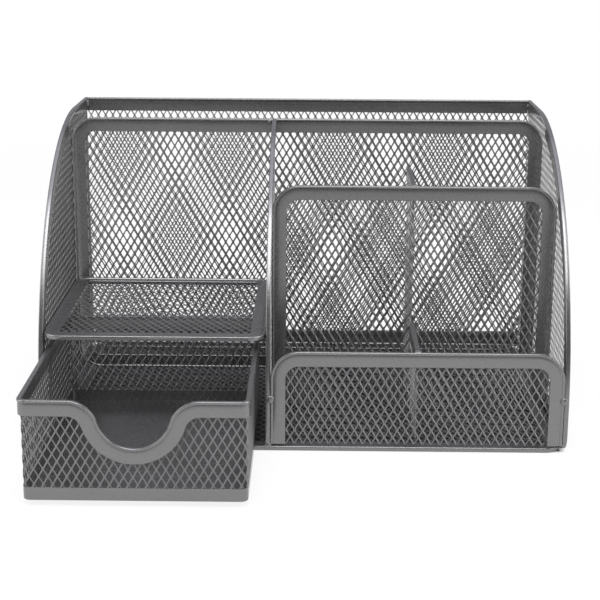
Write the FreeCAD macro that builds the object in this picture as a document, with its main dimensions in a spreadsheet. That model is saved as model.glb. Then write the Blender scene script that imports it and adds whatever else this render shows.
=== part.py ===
"""Mesh desk stand with pens cups, a letter slot, a shelf and a pull-out drawer.

The housing is a set of net panels, each hemmed with a folded steel strip and
welded to its neighbours. The drawer is a sheet pan with net walls under one
hemmed rim, and it slides out to the front.

Frame: X to the right, Y to the rear, Z up. The origin is the middle of the
housing's footprint, on the surface that it stands on.
"""
import FreeCAD, Part
import math
import os

import Sketcher

Vector = FreeCAD.Vector
Rotation = FreeCAD.Rotation

# Driving sizes, in millimetres
SIZES = {
    "overall_width": 220.0,
    "overall_depth": 148.0,
    "overall_height": 128.0,
    "side_front_edge": 16.0,
    "side_foot_radius": 7.0,
    "flange_gap_start": 88.0,
    "flange_gap_end": 106.0,
    "rim_thickness": 2.0,
    "rim_width": 6.3,
    "bead_width": 2.0,
    "bead_chamfer": 0.5,
    "ply_thickness": 0.5,
    "net_inset": 1.2,
    "net_thickness": 0.6,
    "panel_corner_radius": 12.0,
    "divider_corner_radius": 11.0,
    "shelf_corner_radius": 8.0,
    "base_corner_radius": 7.0,
    "base_thickness": 2.0,
    "front_panel_top": 43.1,
    "middle_panel_top": 103.6,
    "rear_divider_drop": 2.8,
    "panel_foot": 3.0,
    "leg_gap": 0.3,
    "rear_divider_foot": 4.8,
    "middle_panel_setback": 47.0,
    "rear_divider_setback": 97.0,
    "shelf_top": 49.3,
    "bay_width": 92.1,
    "drawer_width": 87.8,
    "drawer_depth": 118.0,
    "drawer_height": 40.2,
    "drawer_left_gap": 1.0,
    "drawer_running_gap": 0.3,
    "drawer_pulled_out": 61.7,
    "drawer_corner_radius": 4.0,
    "drawer_hem_proud": 0.4,
    "scoop_half_width": 25.0,
    "scoop_depth": 18.8,
    "scoop_low_radius": 14.0,
    "pan_thickness": 0.5,
    "pan_flange_height": 5.3,
    "weld_radius": 1.7,
    "weld_height": 0.6,
    "small_weld_radius": 1.0,
    "small_weld_height": 0.4,
    "front_weld_height": 22.5,
    "net_cell_width": 14.0,
    "net_cell_height": 24.0,
    "net_strand": 2.2,
    "net_border": 0.8,
    "small_net_cell_share": 0.5,
}

doc = FreeCAD.newDocument("mesh_desk_stand")
sheet = doc.addObject("Spreadsheet::Sheet", "sizes")
for row, (alias, number) in enumerate(SIZES.items(), start=1):
    sheet.set("A%d" % row, alias)
    sheet.set("B%d" % row, str(number))
    sheet.setAlias("B%d" % row, alias)
doc.recompute()


class Size:
    """A length that knows its value now and the expression that gives it."""

    def __init__(self, value, text):
        self.value = float(value)
        self.text = text

    def join(self, other, sign, value, swapped=False):
        """Write the sum, product or quotient of two sizes."""
        texts = [self.text, other.text if isinstance(other, Size) else repr(other)]
        if swapped:
            texts.reverse()
        return Size(value, "(%s %s %s)" % (texts[0], sign, texts[1]))

    def __add__(self, other):
        return self.join(other, "+", self.value + number_of(other))

    def __radd__(self, other):
        return self.join(other, "+", number_of(other) + self.value, swapped=True)

    def __sub__(self, other):
        return self.join(other, "-", self.value - number_of(other))

    def __rsub__(self, other):
        return self.join(other, "-", number_of(other) - self.value, swapped=True)

    def __mul__(self, other):
        return self.join(other, "*", self.value * number_of(other))

    def __rmul__(self, other):
        return self.join(other, "*", number_of(other) * self.value, swapped=True)

    def __truediv__(self, other):
        return self.join(other, "/", self.value / number_of(other))

    def __neg__(self):
        return Size(-self.value, "(-1 * %s)" % self.text)

    def root(self):
        """Give the square root."""
        return Size(math.sqrt(self.value), "sqrt(%s)" % self.text)


def number_of(size):
    """Give the value of a size or of a plain number."""
    return size.value if isinstance(size, Size) else float(size)


def cell(alias):
    """Read one driving size from the sheet."""
    return Size(sheet.get(alias), "sizes.%s" % alias)


ZERO = Size(0.0, "0")

# Turns that lay a panel along the sides or flat, or stand a flat one up
SIDEWAYS = Rotation(Vector(0, 0, 1), 90)
LYING = Rotation(Vector(1, 0, 0), -90)
STANDING = Rotation(Vector(1, 0, 0), 90)

overall_width = cell("overall_width")
overall_depth = cell("overall_depth")
overall_height = cell("overall_height")
side_foot_radius = cell("side_foot_radius")
rim_thickness = cell("rim_thickness")
rim_width = cell("rim_width")
bead_width = cell("bead_width")
bead_chamfer = cell("bead_chamfer")
ply_thickness = cell("ply_thickness")
net_inset = cell("net_inset")
net_thickness = cell("net_thickness")
base_thickness = cell("base_thickness")
panel_foot = cell("panel_foot")

# Faces of the housing that the other pieces line up with
front_y = -overall_depth / 2
rear_y = overall_depth / 2
inner_right_x = overall_width / 2 - rim_thickness
inner_left_x = -inner_right_x
divider_left_x = inner_left_x + cell("bay_width")
divider_right_x = divider_left_x + rim_thickness
middle_panel_y = front_y + cell("middle_panel_setback")
rear_divider_y = front_y + cell("rear_divider_setback")
cup_divider_x = (divider_right_x + inner_right_x - rim_thickness) / 2
curve_foot = cell("side_front_edge")
side_curve_radius = overall_height - curve_foot
rear_divider_top = overall_height - cell("rear_divider_drop")

nodes = {}


def keep(name, piece):
    """Give a finished piece its label, which names its file."""
    piece.Label = name
    nodes[name] = piece


def plane_of(body, role):
    """Find one of the origin planes of a body."""
    return next(item for item in body.Origin.OriginFeatures if item.Role == role)


def new_sketch(body, name, role):
    """Start a sketch on one of the body's origin planes."""
    sketch = body.newObject("Sketcher::SketchObject", name)
    sketch.AttachmentSupport = (plane_of(body, role), "")
    sketch.MapMode = "FlatFace"
    return sketch


def fix_point(sketch, edge, end, point):
    """Tie one end of a sketch edge to the named sizes of its place."""
    for axis, place, line in (("DistanceX", point[0], -2), ("DistanceY", point[1], -1)):
        if place is ZERO:
            sketch.addConstraint(Sketcher.Constraint("PointOnObject", edge, end, line))
            continue
        rule = Sketcher.Constraint(axis, edge, end, place.value)
        index = sketch.addConstraint(rule)
        sketch.setExpression("Constraints[%d]" % index, place.text)


def edge_shape(start, step):
    """Make the line or the arc that a step describes, from a start point."""
    first = Vector(start[0].value, start[1].value, 0)
    last = Vector(step["to"][0].value, step["to"][1].value, 0)
    if "radius" not in step:
        return Part.LineSegment(first, last)
    centre = Vector(step["centre"][0].value, step["centre"][1].value, 0)
    circle = Part.Circle(centre, Vector(0, 0, 1), step["radius"].value)
    turns = [math.atan2(point.y - centre.y, point.x - centre.x) for point in (first, last)]
    if not step["left_turn"]:
        turns.reverse()
    if turns[1] < turns[0]:
        turns[1] += 2 * math.pi
    return Part.ArcOfCircle(circle, turns[0], turns[1])


def line(x, z):
    """Describe a straight step of an outline."""
    return {"to": (x, z)}


def arc(x, z, centre_x, centre_z, radius, left_turn=False):
    """Describe a round step of an outline, clockwise unless told otherwise."""
    return {"to": (x, z), "centre": (centre_x, centre_z), "radius": radius,
            "left_turn": left_turn}


def draw(sketch, start, steps, closed=False):
    """Draw an outline in a sketch and tie each of its points to named sizes."""
    place = start
    for index, step in enumerate(steps):
        sketch.addGeometry(edge_shape(place, step), False)
        turned = "radius" in step and not step["left_turn"]
        step["ends"] = (2, 1) if turned else (1, 2)
        place = step["to"]
    fix_point(sketch, 0, steps[0]["ends"][0], start)
    for index, step in enumerate(steps):
        last_edge = index == len(steps) - 1
        if not last_edge:
            follower = steps[index + 1]["ends"][0]
            sketch.addConstraint(Sketcher.Constraint(
                "Coincident", index, step["ends"][1], index + 1, follower))
        if last_edge and closed:
            sketch.addConstraint(Sketcher.Constraint(
                "Coincident", index, step["ends"][1], 0, steps[0]["ends"][0]))
        else:
            fix_point(sketch, index, step["ends"][1], step["to"])
        if "radius" in step:
            rule = Sketcher.Constraint("Radius", index, step["radius"].value)
            number = sketch.addConstraint(rule)
            sketch.setExpression("Constraints[%d]" % number, step["radius"].text)
    return sketch


def hem_section(sketch, inward, proud):
    """Draw the folded strip's section: a bead, then two plies round the net.

    inward(depth, offset) gives the sketch point at a depth from the strip's
    edge and an offset from the middle of the net. The outer face stands
    proud of the inner one by twice the given amount.
    """
    outer = rim_thickness / 2 + proud
    inner = -rim_thickness / 2 + proud
    outer_ply = net_thickness / 2 + ply_thickness + proud
    inner_ply = -net_thickness / 2 - ply_thickness + proud
    slot = net_thickness / 2
    corners = [
        (ZERO, inner + bead_chamfer), (bead_chamfer, inner), (bead_width, inner),
        (bead_width, inner_ply), (rim_width, inner_ply), (rim_width, -slot),
        (net_inset, -slot), (net_inset, slot), (rim_width, slot),
        (rim_width, outer_ply), (bead_width, outer_ply), (bead_width, outer),
        (bead_chamfer, outer), (ZERO, outer - bead_chamfer),
    ]
    points = [inward(depth, offset) for depth, offset in corners]
    steps = [line(*point) for point in points[1:] + points[:1]]
    return draw(sketch, points[0], steps, closed=True)


def hem(body, tag, steps, section_role, inward, proud=ZERO, path_role="XZ_Plane",
        start=(ZERO, ZERO)):
    """Sweep the folded strip's section along a path in the body."""
    section = hem_section(new_sketch(body, "section_" + tag, section_role), inward, proud)
    path = draw(new_sketch(body, "path_" + tag, path_role), start, steps)
    doc.recompute()
    sweep = body.newObject("PartDesign::AdditivePipe", "strip_" + tag)
    sweep.Profile = section
    sweep.Spine = (path, ["Edge%d" % (index + 1) for index in range(len(steps))])
    return sweep


def cut_through(body, name, start, steps):
    """Cut an outline right through a body, across the plane of its path."""
    outline = draw(new_sketch(body, name, "XZ_Plane"), start, steps, closed=True)
    cut = body.newObject("PartDesign::Pocket", name + "_cut")
    cut.Profile = outline
    cut.Type = "ThroughAll"
    cut.Midplane = True


def place(piece, x, y, z, rotation=Rotation()):
    """Put a piece in the housing's frame, bound to named sizes."""
    piece.Placement = FreeCAD.Placement(Vector(x.value, y.value, z.value), rotation)
    for axis, size in (("x", x), ("y", y), ("z", z)):
        piece.setExpression("Placement.Base.%s" % axis, size.text)


def inward_along_x(depth, offset):
    """Section point where the strip's width runs along the sketch's X axis."""
    return depth, offset


def inward_down(depth, offset):
    """Section point where the strip's width hangs down from its edge."""
    return offset, -depth


def inward_up(depth, offset):
    """Section point where the strip's width stands up from its edge."""
    return offset, depth


def ring_steps(width, half, corner):
    """Path round a panel with four round corners, from the middle of its left edge."""
    return [
        line(ZERO, half - corner),
        arc(corner, half, corner, half - corner, corner),
        line(width - corner, half),
        arc(width, half - corner, width - corner, half - corner, corner),
        line(width, corner - half),
        arc(width - corner, -half, width - corner, corner - half, corner),
        line(corner, -half),
        arc(ZERO, corner - half, corner, corner - half, corner),
        line(ZERO, ZERO),
    ]


def arch_steps(width, height, corner):
    """Path up the left edge, across the top and down the right edge of a panel."""
    return [
        line(ZERO, height - corner),
        arc(corner, height, corner, height - corner, corner),
        line(width - corner, height),
        arc(width, height - corner, width - corner, height - corner, corner),
        line(width, ZERO),
    ]


def hemmed_panel(name, steps, x, y, z, rotation=Rotation()):
    """Make a panel's folded strip as one body."""
    body = doc.addObject("PartDesign::Body", name)
    hem(body, name, steps, "XY_Plane", inward_along_x)
    place(body, x, y, z, rotation)
    keep(name, body)
    return body


def wire_of(start, steps):
    """Make a closed wire from an outline, for the edge of a net."""
    edges = []
    place_now = start
    for step in steps:
        edges.append(edge_shape(place_now, step).toShape())
        place_now = step["to"]
    return Part.Wire(Part.__sortEdges__(edges))


def rounded(left, right, low, high, top_corner, low_corner=ZERO):
    """Outline of a net with round top corners and, if given, round low ones."""
    steps = [
        line(left, high - top_corner),
        arc(left + top_corner, high, left + top_corner, high - top_corner, top_corner),
        line(right - top_corner, high),
        arc(right, high - top_corner, right - top_corner, high - top_corner, top_corner),
    ]
    if low_corner is ZERO:
        return (left, low), steps + [line(right, low), line(left, low)]
    steps += [
        line(right, low + low_corner),
        arc(right - low_corner, low, right - low_corner, low + low_corner, low_corner),
        line(left + low_corner, low),
        arc(left, low + low_corner, left + low_corner, low + low_corner, low_corner),
    ]
    return (left, low + low_corner), steps


def plain(left, right, low, high):
    """Outline of a rectangular net."""
    steps = [line(left, high), line(right, high), line(right, low), line(left, low)]
    return (left, low), steps


def net(name, outline, x, y, z, rotation=Rotation(), cell_share=1):
    """Make a net: a flat sheet with rows of diamond gaps, laid in local X and Z.

    The gaps are wide and few where the real ones are small and many, with
    about the same open share.
    """
    border = Part.Face(wire_of(*outline))
    half_width = cell("net_cell_width").value / 2 * cell_share
    half_height = cell("net_cell_height").value / 2 * cell_share
    strand = cell("net_strand").value * cell_share
    slope = math.hypot(half_width, half_height)
    gap_width = half_width - strand * slope / half_height / 2
    gap_height = half_height - strand * slope / half_width / 2
    guard = border.makeOffset2D(-cell("net_border").value)
    box = guard.BoundBox
    columns = int(box.XLength / half_width) + 2
    rows = int(box.YLength / half_height) + 2
    middle = Vector((box.XMin + box.XMax) / 2, (box.YMin + box.YMax) / 2, 0)
    gaps = []
    for column in range(-columns // 2, columns // 2 + 1):
        for row in range(-rows // 2, rows // 2 + 1):
            if (column + row) % 2:
                continue
            centre = middle + Vector(column * half_width, row * half_height, 0)
            tips = [centre + Vector(gap_width, 0, 0), centre + Vector(0, gap_height, 0),
                    centre - Vector(gap_width, 0, 0), centre - Vector(0, gap_height, 0)]
            if all(guard.isInside(tip, box.DiagonalLength / 1e6, True) for tip in tips):
                gaps.append(Part.makePolygon(tips + tips[:1]))
    face = Part.makeFace([border.OuterWire] + gaps, "Part::FaceMakerBullseye")
    solid = face.extrude(Vector(0, 0, net_thickness.value))
    stand_up = FreeCAD.Placement(Vector(0, net_thickness.value / 2, 0), STANDING)
    solid = solid.transformShape(stand_up.toMatrix(), True)
    piece = doc.addObject("Part::Feature", name)
    piece.Shape = solid
    place(piece, x, y, z, rotation)
    keep(name, piece)


hem_middle = rim_thickness / 2

# How far a panel goes past a rim's face to reach the net in that rim
net_reach = (rim_thickness - net_thickness) / 2

# Side panels: a strip along the bottom, the front, the curve and the top
side_run = overall_depth - side_foot_radius
side_steps = [
    line(-side_run, ZERO),
    arc(-overall_depth, side_foot_radius, -side_run, side_foot_radius, side_foot_radius),
    line(-overall_depth, curve_foot),
    arc(side_curve_radius - overall_depth, overall_height,
        side_curve_radius - overall_depth, curve_foot, side_curve_radius),
    line(ZERO, overall_height),
]
side_net_front = net_inset - overall_depth
side_net_rear = -net_reach
side_net_outline = (side_net_rear, net_inset), [
    line(side_foot_radius - overall_depth, net_inset),
    arc(side_net_front, side_foot_radius, -side_run, side_foot_radius,
        side_foot_radius - net_inset),
    line(side_net_front, curve_foot),
    arc(side_curve_radius - overall_depth, overall_height - net_inset,
        side_curve_radius - overall_depth, curve_foot, side_curve_radius - net_inset),
    line(side_net_rear, overall_height - net_inset),
    line(side_net_rear, net_inset),
]
notch_radius = side_curve_radius - bead_width - bead_chamfer
notch_start = cell("flange_gap_start") - overall_depth
notch_end = cell("flange_gap_end") - overall_depth
notch_low = overall_height - rim_width * 3


def notch_rise(y):
    """Height of the notch's round top over the foot of the side curve."""
    reach = side_curve_radius - overall_depth - y
    return (notch_radius * notch_radius - reach * reach).root()


for name, side_x in (("left_side", hem_middle - overall_width / 2),
                     ("right_side", overall_width / 2 - hem_middle)):
    body = doc.addObject("PartDesign::Body", name + "_rim")
    hem(body, name, side_steps, "YZ_Plane", inward_up)
    doc.recompute()
    # The plies stop short near the top of the curve and taper back in behind it
    cut_through(body, "notch_" + name, (notch_start, notch_low), [
        line(notch_start, curve_foot + notch_rise(notch_start)),
        arc(notch_end, curve_foot + notch_rise(notch_end),
            side_curve_radius - overall_depth, curve_foot, notch_radius),
        line(-bead_width, overall_height - rim_width),
        line(-bead_width, notch_low),
        line(notch_start, notch_low),
    ])
    place(body, side_x, rear_y, ZERO, SIDEWAYS)
    keep(name + "_rim", body)
    net(name + "_net", side_net_outline, side_x, rear_y, ZERO, SIDEWAYS)

# Rear panel: a strip along its top and one along its foot
rear_width = inner_right_x - inner_left_x
for name, height, inward in (("rear_top_rim", overall_height, inward_down),
                             ("rear_foot_rim", base_thickness, inward_up)):
    body = doc.addObject("PartDesign::Body", name)
    hem(body, name, [line(rear_width, ZERO)], "YZ_Plane", inward)
    place(body, inner_left_x, rear_y - hem_middle, height)
    keep(name, body)
rear_net_low = base_thickness + net_inset
rear_net_high = overall_height - net_inset
net("rear_net", ((ZERO, rear_net_low), [
    line(ZERO, rim_width),
    line(-net_reach, rim_width),
    line(-net_reach, overall_height - rim_width),
    line(ZERO, overall_height - rim_width),
    line(ZERO, rear_net_high),
    line(rear_width, rear_net_high),
    line(rear_width, overall_height - rim_width),
    line(rear_width + net_reach, overall_height - rim_width),
    line(rear_width + net_reach, rim_width),
    line(rear_width, rim_width),
    line(rear_width, rear_net_low),
    line(ZERO, rear_net_low),
]), inner_left_x, rear_y - hem_middle, ZERO)

# Base: a floor net in a flat frame between the side panels
base_half = overall_depth / 2
base_corner = cell("base_corner_radius")
hemmed_panel("base_rim", ring_steps(rear_width, base_half, base_corner),
             inner_left_x, ZERO, base_thickness / 2, LYING)
net("base_net", rounded(net_inset, rear_width - net_inset, net_inset - base_half,
                        base_half - net_inset, base_corner - net_inset,
                        base_corner - net_inset),
    inner_left_x, ZERO, base_thickness / 2, LYING)

# Rear divider: the front wall of the letter slot, across the whole width
divider_corner = cell("divider_corner_radius")
divider_half = (rear_divider_top - cell("rear_divider_foot")) / 2
divider_middle = (rear_divider_top + cell("rear_divider_foot")) / 2
slot_width = rear_width + net_reach * 2
hemmed_panel("rear_divider_rim", ring_steps(slot_width, divider_half, divider_corner),
             inner_left_x - net_reach, rear_divider_y + hem_middle, divider_middle)
net("rear_divider_net",
    rounded(net_inset, slot_width - net_inset, net_inset - divider_half,
            divider_half - net_inset, divider_corner - net_inset, divider_corner - net_inset),
    inner_left_x - net_reach, rear_divider_y + hem_middle, divider_middle)

# Centre divider: curved like the sides, and flush with the rear divider's top
divider_depth = cell("rear_divider_setback")
centre_foot = curve_foot - base_thickness
centre_height = rear_divider_top - base_thickness
centre_rise = rear_divider_top - curve_foot
centre_radius = (divider_depth * divider_depth + centre_rise * centre_rise) / (divider_depth * 2)
centre_body = doc.addObject("PartDesign::Body", "centre_divider_rim")
hem(centre_body, "centre_divider_rim", [
    line(ZERO, centre_foot),
    arc(divider_depth, centre_height, centre_radius, centre_foot, centre_radius),
], "XY_Plane", inward_along_x)
doc.recompute()
trim_low = centre_height - rim_width * 2
trim_high = centre_height + rim_width
cut_through(centre_body, "rear_end", (divider_depth, trim_low), [
    line(divider_depth, trim_high),
    line(divider_depth + rim_width, trim_high),
    line(divider_depth + rim_width, trim_low),
    line(divider_depth, trim_low),
])
place(centre_body, divider_left_x + hem_middle, front_y, base_thickness, SIDEWAYS)
keep("centre_divider_rim", centre_body)
inner_radius = centre_radius - net_inset
curve_rest = centre_radius - divider_depth
net_end = centre_foot + (inner_radius * inner_radius - curve_rest * curve_rest).root()
net("centre_divider_net", ((net_inset, ZERO), [
    line(net_inset, centre_foot),
    arc(divider_depth, net_end, centre_radius, centre_foot, inner_radius),
    line(divider_depth, ZERO),
    line(net_inset, ZERO),
]), divider_left_x + hem_middle, front_y, base_thickness, SIDEWAYS)

# Middle and front panels of the pen cups
panel_corner = cell("panel_corner_radius")
small_cell_share = cell("small_net_cell_share").value
for name, top, panel_y, reach, leg_foot, share in (
        ("middle_panel", cell("middle_panel_top"), middle_panel_y, net_reach,
         rim_width + cell("leg_gap"), 1),
        ("front_panel", cell("front_panel_top"), front_y, ZERO, panel_foot, small_cell_share)):
    width = inner_right_x - divider_right_x + reach * 2
    hemmed_panel(name + "_rim", arch_steps(width, top - leg_foot, panel_corner),
                 divider_right_x - reach, panel_y + hem_middle, leg_foot)
    net(name + "_net", rounded(net_inset, width - net_inset, ZERO, top - panel_foot - net_inset,
                               panel_corner - net_inset),
        divider_right_x - reach, panel_y + hem_middle, panel_foot, cell_share=share)

# Cup dividers: one behind the middle panel and a lower one in front of it
for name, top, from_y, to_y, low_step, share in (
        ("rear_cup_divider", cell("middle_panel_top"), middle_panel_y + rim_thickness,
         rear_divider_y, cell("rear_divider_foot") + rim_width, 1),
        ("front_cup_divider", cell("front_panel_top"), front_y + rim_thickness,
         middle_panel_y, panel_foot + bead_width, small_cell_share)):
    run = to_y - from_y
    body = doc.addObject("PartDesign::Body", name + "_rim")
    hem(body, name, [line(run + net_reach, ZERO)], "YZ_Plane", inward_down)
    place(body, cup_divider_x + hem_middle, from_y, top, SIDEWAYS)
    keep(name + "_rim", body)
    net(name + "_net", ((ZERO, panel_foot), [
        line(ZERO, top - net_inset),
        line(run + net_reach, top - net_inset),
        line(run + net_reach, low_step),
        line(run, low_step),
        line(run, panel_foot),
        line(ZERO, panel_foot),
    ]), cup_divider_x + hem_middle, from_y, ZERO, SIDEWAYS, cell_share=share)

# Shelf over the drawer
shelf_width = cell("bay_width")
shelf_half = (cell("rear_divider_setback") + net_reach) / 2
shelf_corner = cell("shelf_corner_radius")
shelf_level = cell("shelf_top") - hem_middle
hemmed_panel("shelf_rim", ring_steps(shelf_width, shelf_half, shelf_corner),
             inner_left_x, front_y + shelf_half, shelf_level, LYING)
net("shelf_net", rounded(net_inset, shelf_width - net_inset, net_inset - shelf_half,
                         shelf_half - net_inset, shelf_corner - net_inset,
                         shelf_corner - net_inset),
    inner_left_x, front_y + shelf_half, shelf_level, LYING)

# Drawer
drawer_width = cell("drawer_width")
drawer_depth = cell("drawer_depth")
drawer_height = cell("drawer_height")
drawer_corner = cell("drawer_corner_radius")
hem_proud = cell("drawer_hem_proud")
scoop_half = cell("scoop_half_width")
scoop_depth = cell("scoop_depth")
scoop_low = cell("scoop_low_radius")
pan_thickness = cell("pan_thickness")
pan_flange = cell("pan_flange_height")
drawer_left_x = inner_left_x + cell("drawer_left_gap")
drawer_front_y = front_y - cell("drawer_pulled_out")
drawer_floor = base_thickness + cell("drawer_running_gap")
drawer_top = drawer_floor + drawer_height

# The path follows the middle of the net, inside the rim's outer face
wall_inset = rim_thickness / 2 + hem_proud
wall_width = drawer_width - wall_inset * 2
wall_depth = drawer_depth - wall_inset * 2
wall_corner = drawer_corner - wall_inset
front_run = wall_width - wall_corner * 2

# Scoop: two round shoulders that run tangent into a round bottom
scoop_reach = (scoop_half * scoop_half + scoop_depth * scoop_depth) / (scoop_depth * 2)
scoop_shoulder = scoop_reach - scoop_low


def scoop_steps(middle_x, top, end_x, drop=ZERO):
    """Path along the front's top edge, or an edge that lies below it by a drop."""
    shoulder = scoop_shoulder - drop
    low = scoop_low + drop
    turn_x = scoop_half * low / scoop_reach
    turn_z = scoop_depth * shoulder / scoop_reach
    return [
        line(middle_x - scoop_half, top),
        arc(middle_x - turn_x, top - turn_z, middle_x - scoop_half, top - shoulder, shoulder),
        arc(middle_x + turn_x, top - turn_z, middle_x, top - scoop_depth + low, low,
            left_turn=True),
        arc(middle_x + scoop_half, top, middle_x + scoop_half, top - shoulder, shoulder),
        line(end_x, top),
    ]


rim_body = doc.addObject("PartDesign::Body", "drawer_rim")
hem(rim_body, "drawer_front", scoop_steps(front_run / 2, ZERO, front_run),
    "YZ_Plane", lambda depth, offset: (-offset, -depth), hem_proud)
doc.recompute()
hem(rim_body, "drawer_sides", [
    arc(-wall_corner, wall_corner, ZERO, wall_corner, wall_corner),
    line(-wall_corner, wall_depth - wall_corner),
    arc(ZERO, wall_depth, ZERO, wall_depth - wall_corner, wall_corner),
    line(front_run, wall_depth),
    arc(front_run + wall_corner, wall_depth - wall_corner, front_run,
        wall_depth - wall_corner, wall_corner),
    line(front_run + wall_corner, wall_corner),
    arc(front_run, ZERO, front_run, wall_corner, wall_corner),
], "YZ_Plane", lambda depth, offset: (-offset, -depth), hem_proud, path_role="XY_Plane")
place(rim_body, drawer_left_x + wall_inset + wall_corner, drawer_front_y + wall_inset,
      drawer_top)
keep("drawer_rim", rim_body)

# Drawer walls: four nets, between the rim's plies above and the pan below
net_foot = drawer_floor + pan_thickness
net_height = drawer_height - pan_thickness - net_inset
wall_left_x = drawer_left_x + wall_inset
wall_front_y = drawer_front_y + wall_inset
net("drawer_front_net", ((ZERO, ZERO),
    [line(ZERO, net_height)]
    + scoop_steps(front_run / 2, net_height, front_run, net_inset)
    + [line(front_run, ZERO), line(ZERO, ZERO)]),
    wall_left_x + wall_corner, wall_front_y, net_foot, cell_share=small_cell_share)
net("drawer_rear_net", plain(ZERO, front_run, ZERO, net_height),
    wall_left_x + wall_corner, wall_front_y + wall_depth, net_foot,
    cell_share=small_cell_share)


side_run_inside = wall_depth - wall_corner * 2
for name, wall_x in (("drawer_left_net", wall_left_x),
                     ("drawer_right_net", wall_left_x + wall_width)):
    net(name, plain(ZERO, side_run_inside, ZERO, net_height), wall_x,
        wall_front_y + wall_corner, net_foot, SIDEWAYS, small_cell_share)


def corner_net(x, y, start_angle):
    """The net's quarter turn round one of the drawer's corners."""
    solids = [Part.makeCylinder((wall_corner + side).value, net_height.value,
                                Vector(x.value, y.value, 0), Vector(0, 0, 1), 90)
              for side in (net_thickness / 2, -net_thickness / 2)]
    shell = solids[0].cut(solids[1])
    shell.rotate(Vector(x.value, y.value, 0), Vector(0, 0, 1), start_angle)
    return shell


corners = doc.addObject("Part::Feature", "drawer_corner_nets")
corners.Shape = Part.makeCompound([
    corner_net(ZERO, ZERO, 180),
    corner_net(front_run, ZERO, 270),
    corner_net(front_run, side_run_inside, 0),
    corner_net(ZERO, side_run_inside, 90),
])
place(corners, wall_left_x + wall_corner, wall_front_y + wall_corner, net_foot)
keep("drawer_corner_nets", corners)

# Pan: a flat floor with an upturned flange outside the nets
pan_inset = wall_inset - net_thickness / 2 - pan_thickness
pan_left_x = drawer_left_x + pan_inset
pan_width = drawer_width - pan_inset * 2
pan_depth = drawer_depth - pan_inset * 2
pan_corner = drawer_corner - pan_inset
pan = doc.addObject("PartDesign::Body", "drawer_pan")
outer = new_sketch(pan, "pan_outline", "XY_Plane")
start, steps = rounded(ZERO, pan_width, ZERO, pan_depth, pan_corner, pan_corner)
draw(outer, start, steps, closed=True)
block = pan.newObject("PartDesign::Pad", "pan_block")
block.Profile = outer
block.setExpression("Length", pan_flange.text)
doc.recompute()
inner = new_sketch(pan, "pan_inside", "XY_Plane")
inner.setExpression("AttachmentOffset.Base.z", pan_flange.text)
inside_corner = pan_corner - pan_thickness
start, steps = rounded(pan_thickness, pan_width - pan_thickness, pan_thickness,
                       pan_depth - pan_thickness, inside_corner, inside_corner)
draw(inner, start, steps, closed=True)
hollow = pan.newObject("PartDesign::Pocket", "pan_hollow")
hollow.Profile = inner
hollow.setExpression("Length", (pan_flange - pan_thickness).text)
place(pan, pan_left_x, drawer_front_y + pan_inset, drawer_floor)
keep("drawer_pan", pan)

# Weld beads: low domes on the faces that they join
weld_size = (cell("weld_radius"), cell("weld_height"))
small_weld_size = (cell("small_weld_radius"), cell("small_weld_height"))


def weld_dome(name, x, y, z, facing_front=False, size=weld_size):
    """Make one bead: the cap of a ball, standing on a flat face."""
    radius, height = size
    ball_radius = (radius * radius + height * height) / (height * 2)
    sunk = ball_radius - height
    ball = doc.addObject("Part::Sphere", name)
    ball.setExpression("Radius", ball_radius.text)
    ball.setExpression("Angle1", "asin(%s / %s)" % (sunk.text, ball_radius.text))
    if facing_front:
        place(ball, x, y + sunk, z, STANDING)
    else:
        place(ball, x, y, z - sunk)
    return ball


cup_seam_x = cup_divider_x + hem_middle
front_weld_z = cell("front_weld_height")
weld_group = doc.addObject("Part::Compound", "weld_beads")
weld_group.Links = [
    weld_dome("weld_front_right", inner_right_x, front_y, front_weld_z, True),
    weld_dome("weld_front_centre", divider_right_x, front_y, front_weld_z, True),
    weld_dome("weld_foot_centre", divider_left_x + hem_middle, front_y, base_thickness, True),
    weld_dome("weld_cup_front", cup_seam_x, front_y + rim_thickness, cell("front_panel_top")),
    weld_dome("weld_cup_middle", cup_seam_x, middle_panel_y + rim_thickness,
              cell("middle_panel_top")),
    weld_dome("weld_divider_top", divider_left_x - small_weld_size[0], rear_divider_y,
              rear_divider_top - (bead_width + bead_chamfer) / 2, True, small_weld_size),
]
keep("weld_beads", weld_group)

doc.recompute()

failed = [item.Name for item in doc.Objects
          if "Invalid" in item.State or "Error" in item.State]
for name, piece in nodes.items():
    if piece.Shape.isNull() or not piece.Shape.isValid() or not piece.Shape.Solids:
        failed.append(name)
if failed:
    raise RuntimeError("pieces that failed: " + ", ".join(failed))

os.makedirs("parts", exist_ok=True)
for name, piece in nodes.items():
    piece.Shape.exportStep("parts/%s.step" % name)
    print("%-24s %2d solid(s) %10.1f mm3" % (name, len(piece.Shape.Solids), piece.Shape.Volume))
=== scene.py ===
"""Mesh desk stand with a drawer: its nets, folded strips, pan and welds, dressed for the camera.

Sizes are in millimetres until a piece is handed over. X runs to the right, Y to the rear and
Z up, and the origin is the middle of the housing's footprint.
"""
import logging
import math
from collections.abc import Callable, Iterable, Sequence
from dataclasses import dataclass, field
from enum import Enum

import bmesh
import bpy
from mathutils import Matrix, Vector, noise


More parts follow.
